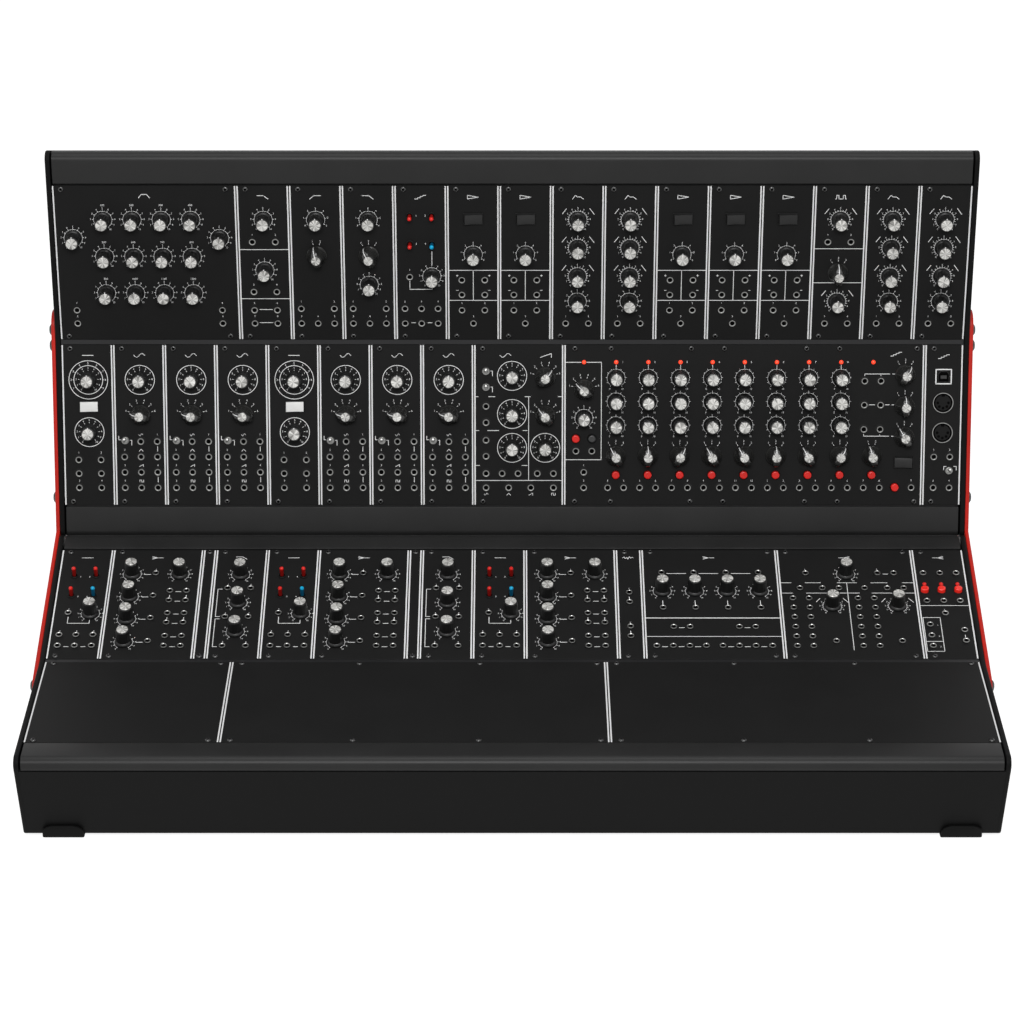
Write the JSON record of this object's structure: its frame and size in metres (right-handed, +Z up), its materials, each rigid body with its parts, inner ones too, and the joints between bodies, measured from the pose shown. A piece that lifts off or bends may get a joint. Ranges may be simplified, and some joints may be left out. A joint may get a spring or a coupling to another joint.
{
  "type": "modular synthesizer",
  "caption": "Modular synthesizer: two shallow black cases of patch-panel modules, stacked in tiers on red side brackets.",
  "frame": {"origin": "middle of the object's footprint box, on the table that the feet stand on", "axes": "+X to the player's right along the rows of modules, +Y away from the player, +Z up"},
  "size_m": [0.7308, 0.451, 0.4234],
  "materials": {
    "panel_black": "black anodised sheet, satin",
    "case_black": "black powder coat, fine texture",
    "rail_dark": "black anodised extrusion",
    "bracket_red": "red powder coat, satin",
    "foot_rubber": "moulded rubber, matt",
    "knob_black": "moulded, with a spun aluminium cap",
    "pointer_black": "moulded, with a spun aluminium cap and a white line",
    "lever_red": "moulded",
    "rocker_black": "moulded",
    "rocker_white": "moulded",
    "toggle_nickel": "nickel plated brass",
    "button_red": "moulded"
  },
  "bodies": {
    "case": {"fixed_filter_bank": "panel_black", "dual_filter": "panel_black", "high_pass_filter": "panel_black", "low_pass_filter": "panel_black", "control_voltage_panel": "panel_black", "amplifier_pair": "panel_black", "envelope_pair_left": "panel_black", "amplifier_trio": "panel_black", "trigger_delay": "panel_black", "envelope_pair_right": "panel_black", "oscillator_driver_left": "panel_black", "oscillator_trio_left": "panel_black", "oscillator_driver_right": "panel_black", "oscillator_trio_right": "panel_black", "voltage_oscillator": "panel_black", "sequencer": "panel_black", "note_converter": "panel_black", "oscillator_control_left": "panel_black", "mixer_left": "panel_black", "filler_left": "panel_black", "attenuator_left": "panel_black", "oscillator_control_centre": "panel_black", "mixer_centre": "panel_black", "filler_right": "panel_black", "attenuator_right": "panel_black", "oscillator_control_right": "panel_black", "mixer_right": "panel_black", "random_generator": "panel_black", "attenuator_bank": "panel_black", "interface_panel": "panel_black", "sequential_switch": "panel_black", "blank_panel_narrow": "panel_black", "blank_panel_left": "panel_black", "blank_panel_right": "panel_black", "lower_tray": "case_black", "upper_tray": "case_black", "lower_front_lip": "case_black", "lower_rear_lip": "case_black", "upper_front_lip": "case_black", "upper_rear_lip": "case_black", "lower_middle_rail": "rail_dark", "upper_middle_rail": "rail_dark", "bracket_left": "bracket_red", "bracket_right": "bracket_red", "foot_front_left": "foot_rubber", "foot_front_right": "foot_rubber", "foot_rear_left": "foot_rubber", "foot_rear_right": "foot_rubber"},
    "filter_cutoff_knob": {"filter_cutoff_knob": "knob_black"},
    "filter_range_pointer": {"filter_range_pointer": "pointer_black"},
    "control_switch_lever": {"control_switch_lever": "lever_red"},
    "amplifier_rocker": {"amplifier_rocker": "rocker_black"},
    "driver_octave_rocker": {"driver_octave_rocker": "rocker_white"},
    "oscillator_sync_toggle": {"oscillator_sync_toggle": "toggle_nickel"},
    "oscillator_range_pointer": {"oscillator_range_pointer": "pointer_black"},
    "stage_knob": {"stage_knob": "knob_black"},
    "stage_mode_pointer": {"stage_mode_pointer": "pointer_black"},
    "stage_set_button": {"stage_set_button": "button_red"},
    "mixer_level_knob": {"mixer_level_knob": "knob_black"},
    "switch_select_button": {"switch_select_button": "button_red"}
  },
  "joints": [
    {"name": "filter_cutoff_knob_turn", "type": "hinge", "parent": "case", "child": "filter_cutoff_knob", "pos_m": [-0.11176, 0.11585, 0.36909], "axis": [0, -0.9998, -0.0175], "range_deg": [-150, 150]},
    {"name": "filter_range_pointer_turn", "type": "hinge", "parent": "case", "child": "filter_range_pointer", "pos_m": [-0.11176, 0.11636, 0.33967], "axis": [0, -0.9998, -0.0175], "range_deg": [-60, 0]},
    {"name": "control_switch_lever_tip", "type": "hinge", "parent": "case", "child": "control_switch_lever", "pos_m": [-0.07965, 0.11579, 0.37243], "axis": [1, 0, 0], "range_deg": [-12, 12]},
    {"name": "amplifier_rocker_tip", "type": "hinge", "parent": "case", "child": "amplifier_rocker", "pos_m": [-0.03048, 0.11583, 0.36999], "axis": [0, -0.0175, 0.9998], "range_deg": [-14, 0]},
    {"name": "driver_octave_rocker_tip", "type": "hinge", "parent": "case", "child": "driver_octave_rocker", "pos_m": [-0.33467, 0.10522, 0.21682], "axis": [0, 0.2419, 0.9703], "range_deg": [-14, 0]},
    {"name": "oscillator_sync_toggle_tip", "type": "hinge", "parent": "case", "child": "oscillator_sync_toggle", "pos_m": [-0.30643, 0.09866, 0.19051], "axis": [1, 0, 0], "range_deg": [0, 24]},
    {"name": "oscillator_range_pointer_turn", "type": "hinge", "parent": "case", "child": "oscillator_range_pointer", "pos_m": [-0.29403, 0.1036, 0.21034], "axis": [0, -0.9703, 0.2419], "range_deg": [-150, 0]},
    {"name": "stage_knob_turn", "type": "hinge", "parent": "case", "child": "stage_knob", "pos_m": [0.08195, 0.11069, 0.23877], "axis": [0, -0.9703, 0.2419], "range_deg": [-150, 150]},
    {"name": "stage_mode_pointer_turn", "type": "hinge", "parent": "case", "child": "stage_mode_pointer", "pos_m": [0.08195, 0.09567, 0.17854], "axis": [0, -0.9703, 0.2419], "range_deg": [-60, 0]},
    {"name": "stage_set_button_press", "type": "slide", "parent": "case", "child": "stage_set_button", "axis": [0, 0.9703, -0.2419], "range_m": [0, 0.0012], "stiffness_N_per_m": 500},
    {"name": "mixer_level_knob_turn", "type": "hinge", "parent": "case", "child": "mixer_level_knob", "pos_m": [-0.29789, 0.02998, 0.10566], "axis": [0, -0.2588, 0.9659], "range_deg": [-150, 150]},
    {"name": "switch_select_button_press", "type": "slide", "parent": "case", "child": "switch_select_button", "axis": [0, 0.2588, -0.9659], "range_m": [0, 0.0012], "stiffness_N_per_m": 500}
  ]
}
